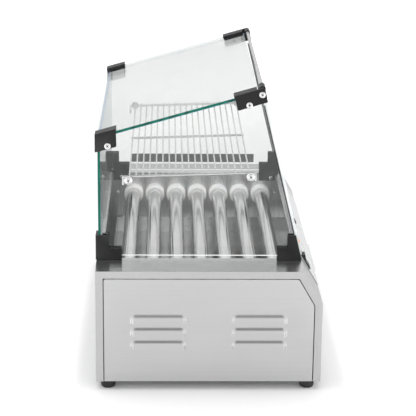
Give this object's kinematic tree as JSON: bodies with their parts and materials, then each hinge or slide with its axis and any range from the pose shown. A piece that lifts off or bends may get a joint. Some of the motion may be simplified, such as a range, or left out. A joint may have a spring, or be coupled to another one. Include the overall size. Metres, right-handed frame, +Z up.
{
  "type": "hot dog roller grill",
  "caption": "Countertop roller grill: chain-driven heated rollers in a steel cabinet, under a glass hood with a lift-up front door and a wire bun shelf, over a pull-out drip tray.",
  "frame": {"origin": "bottom centre of the whole box, on the plane the rubber feet stand on", "axes": "+X along the rollers to the operator's right, -Y the operator's side with the controls and the glass door, +Y the customer's side, +Z up"},
  "size_m": [0.5856, 0.3344, 0.4343],
  "materials": {
    "cabinet_steel": "fine horizontal brushing, satin",
    "inner_steel": "dull bare sheet",
    "zinc_steel": "zinc plated, satin",
    "roller_steel": "polished tube",
    "white_ptfe": "waxy white, moulded",
    "black_rubber": "moulded, matt",
    "panel_overlay": "plain pale printed film with no marks",
    "black_plastic": "moulded, fine grain",
    "amber_lens": "clear amber lens",
    "clear_glass": "toughened, polished green edges",
    "shelf_wire": "bright plated wire"
  },
  "bodies": {
    "cabinet": {"outer_shell": "cabinet_steel", "left_end_panel": "cabinet_steel", "right_end_panel": "cabinet_steel", "left_bearing_plate": "inner_steel", "right_bearing_plate": "inner_steel", "bottom_plate": "zinc_steel", "drive_chain": "zinc_steel", "gear_motor": "zinc_steel", "heater_bank": "zinc_steel", "left_bearing_strip": "white_ptfe", "roller_seal_1": "white_ptfe", "roller_seal_2": "white_ptfe", "roller_seal_3": "white_ptfe", "roller_seal_4": "white_ptfe", "roller_seal_5": "white_ptfe", "roller_seal_6": "white_ptfe", "roller_seal_7": "white_ptfe", "foot_rear_left": "black_rubber", "foot_rear_right": "black_rubber", "foot_front_left": "black_rubber", "foot_front_right": "black_rubber", "control_panel": "panel_overlay", "switch_housing": "black_plastic", "round_cap": "black_plastic", "power_inlet": "black_plastic", "left_lower_rear_bracket": "black_plastic", "left_lower_front_bracket": "black_plastic", "left_upper_rear_bracket": "black_plastic", "left_upper_front_bracket": "black_plastic", "right_lower_rear_bracket": "black_plastic", "right_lower_front_bracket": "black_plastic", "right_upper_rear_bracket": "black_plastic", "right_upper_front_bracket": "black_plastic", "indicator_lamp": "amber_lens", "left_end_glass": "clear_glass", "right_end_glass": "clear_glass", "rear_glass": "clear_glass", "top_glass": "clear_glass", "bun_shelf": "shelf_wire"},
    "tray": {"drip_tray": "cabinet_steel"},
    "door": {"front_door_glass": "clear_glass", "door_hinge_rod": "black_plastic"},
    "rocker": {"switch_rocker": "black_plastic"},
    "drive": {"drive_sprocket": "zinc_steel"},
    "roller_body_1": {"roller_1": "roller_steel", "roller_sprocket_1": "zinc_steel"},
    "roller_body_2": {"roller_2": "roller_steel", "roller_sprocket_2": "zinc_steel"},
    "roller_body_3": {"roller_3": "roller_steel", "roller_sprocket_3": "zinc_steel"},
    "roller_body_4": {"roller_4": "roller_steel", "roller_sprocket_4": "zinc_steel"},
    "roller_body_5": {"roller_5": "roller_steel", "roller_sprocket_5": "zinc_steel"},
    "roller_body_6": {"roller_6": "roller_steel", "roller_sprocket_6": "zinc_steel"},
    "roller_body_7": {"roller_7": "roller_steel", "roller_sprocket_7": "zinc_steel"}
  },
  "joints": [
    {"name": "roller_1_spin", "type": "hinge", "parent": "cabinet", "child": "roller_body_1", "pos_m": [0, 0.1224, 0.1451], "axis": [1, 0, 0], "continuous": true},
    {"name": "roller_2_spin", "type": "hinge", "parent": "cabinet", "child": "roller_body_2", "pos_m": [0, 0.086, 0.1451], "axis": [1, 0, 0], "continuous": true},
    {"name": "roller_3_spin", "type": "hinge", "parent": "cabinet", "child": "roller_body_3", "pos_m": [0, 0.0496, 0.1451], "axis": [1, 0, 0], "continuous": true},
    {"name": "roller_4_spin", "type": "hinge", "parent": "cabinet", "child": "roller_body_4", "pos_m": [0, 0.0132, 0.1451], "axis": [1, 0, 0], "continuous": true},
    {"name": "roller_5_spin", "type": "hinge", "parent": "cabinet", "child": "roller_body_5", "pos_m": [0, -0.0232, 0.1451], "axis": [1, 0, 0], "continuous": true},
    {"name": "roller_6_spin", "type": "hinge", "parent": "cabinet", "child": "roller_body_6", "pos_m": [0, -0.0596, 0.1451], "axis": [1, 0, 0], "continuous": true},
    {"name": "roller_7_spin", "type": "hinge", "parent": "cabinet", "child": "roller_body_7", "pos_m": [0, -0.096, 0.1451], "axis": [1, 0, 0], "continuous": true},
    {"name": "drive_sprocket_spin", "type": "hinge", "parent": "cabinet", "child": "drive", "pos_m": [0.248, 0.0132, 0.05], "axis": [1, 0, 0], "continuous": true},
    {"name": "tray_slide", "type": "slide", "parent": "cabinet", "child": "tray", "axis": [0, -1, 0], "range_m": [0, 0.26]},
    {"name": "door_swing", "type": "hinge", "parent": "cabinet", "child": "door", "pos_m": [0, -0.06831, 0.43], "axis": [-1, 0, 0], "range_deg": [0, 220]},
    {"name": "rocker_tilt", "type": "hinge", "parent": "cabinet", "child": "rocker", "pos_m": [-0.2015, -0.13574, 0.1684], "axis": [1, 0, 0], "range_deg": [-24, 0]}
  ],
  "couplings": [
    {"joint": "roller_2_spin", "follows": "roller_1_spin", "ratio": 1},
    {"joint": "roller_3_spin", "follows": "roller_1_spin", "ratio": 1},
    {"joint": "roller_4_spin", "follows": "roller_1_spin", "ratio": 1},
    {"joint": "roller_5_spin", "follows": "roller_1_spin", "ratio": 1},
    {"joint": "roller_6_spin", "follows": "roller_1_spin", "ratio": 1},
    {"joint": "roller_7_spin", "follows": "roller_1_spin", "ratio": 1},
    {"joint": "drive_sprocket_spin", "follows": "roller_1_spin", "ratio": 1}
  ]
}
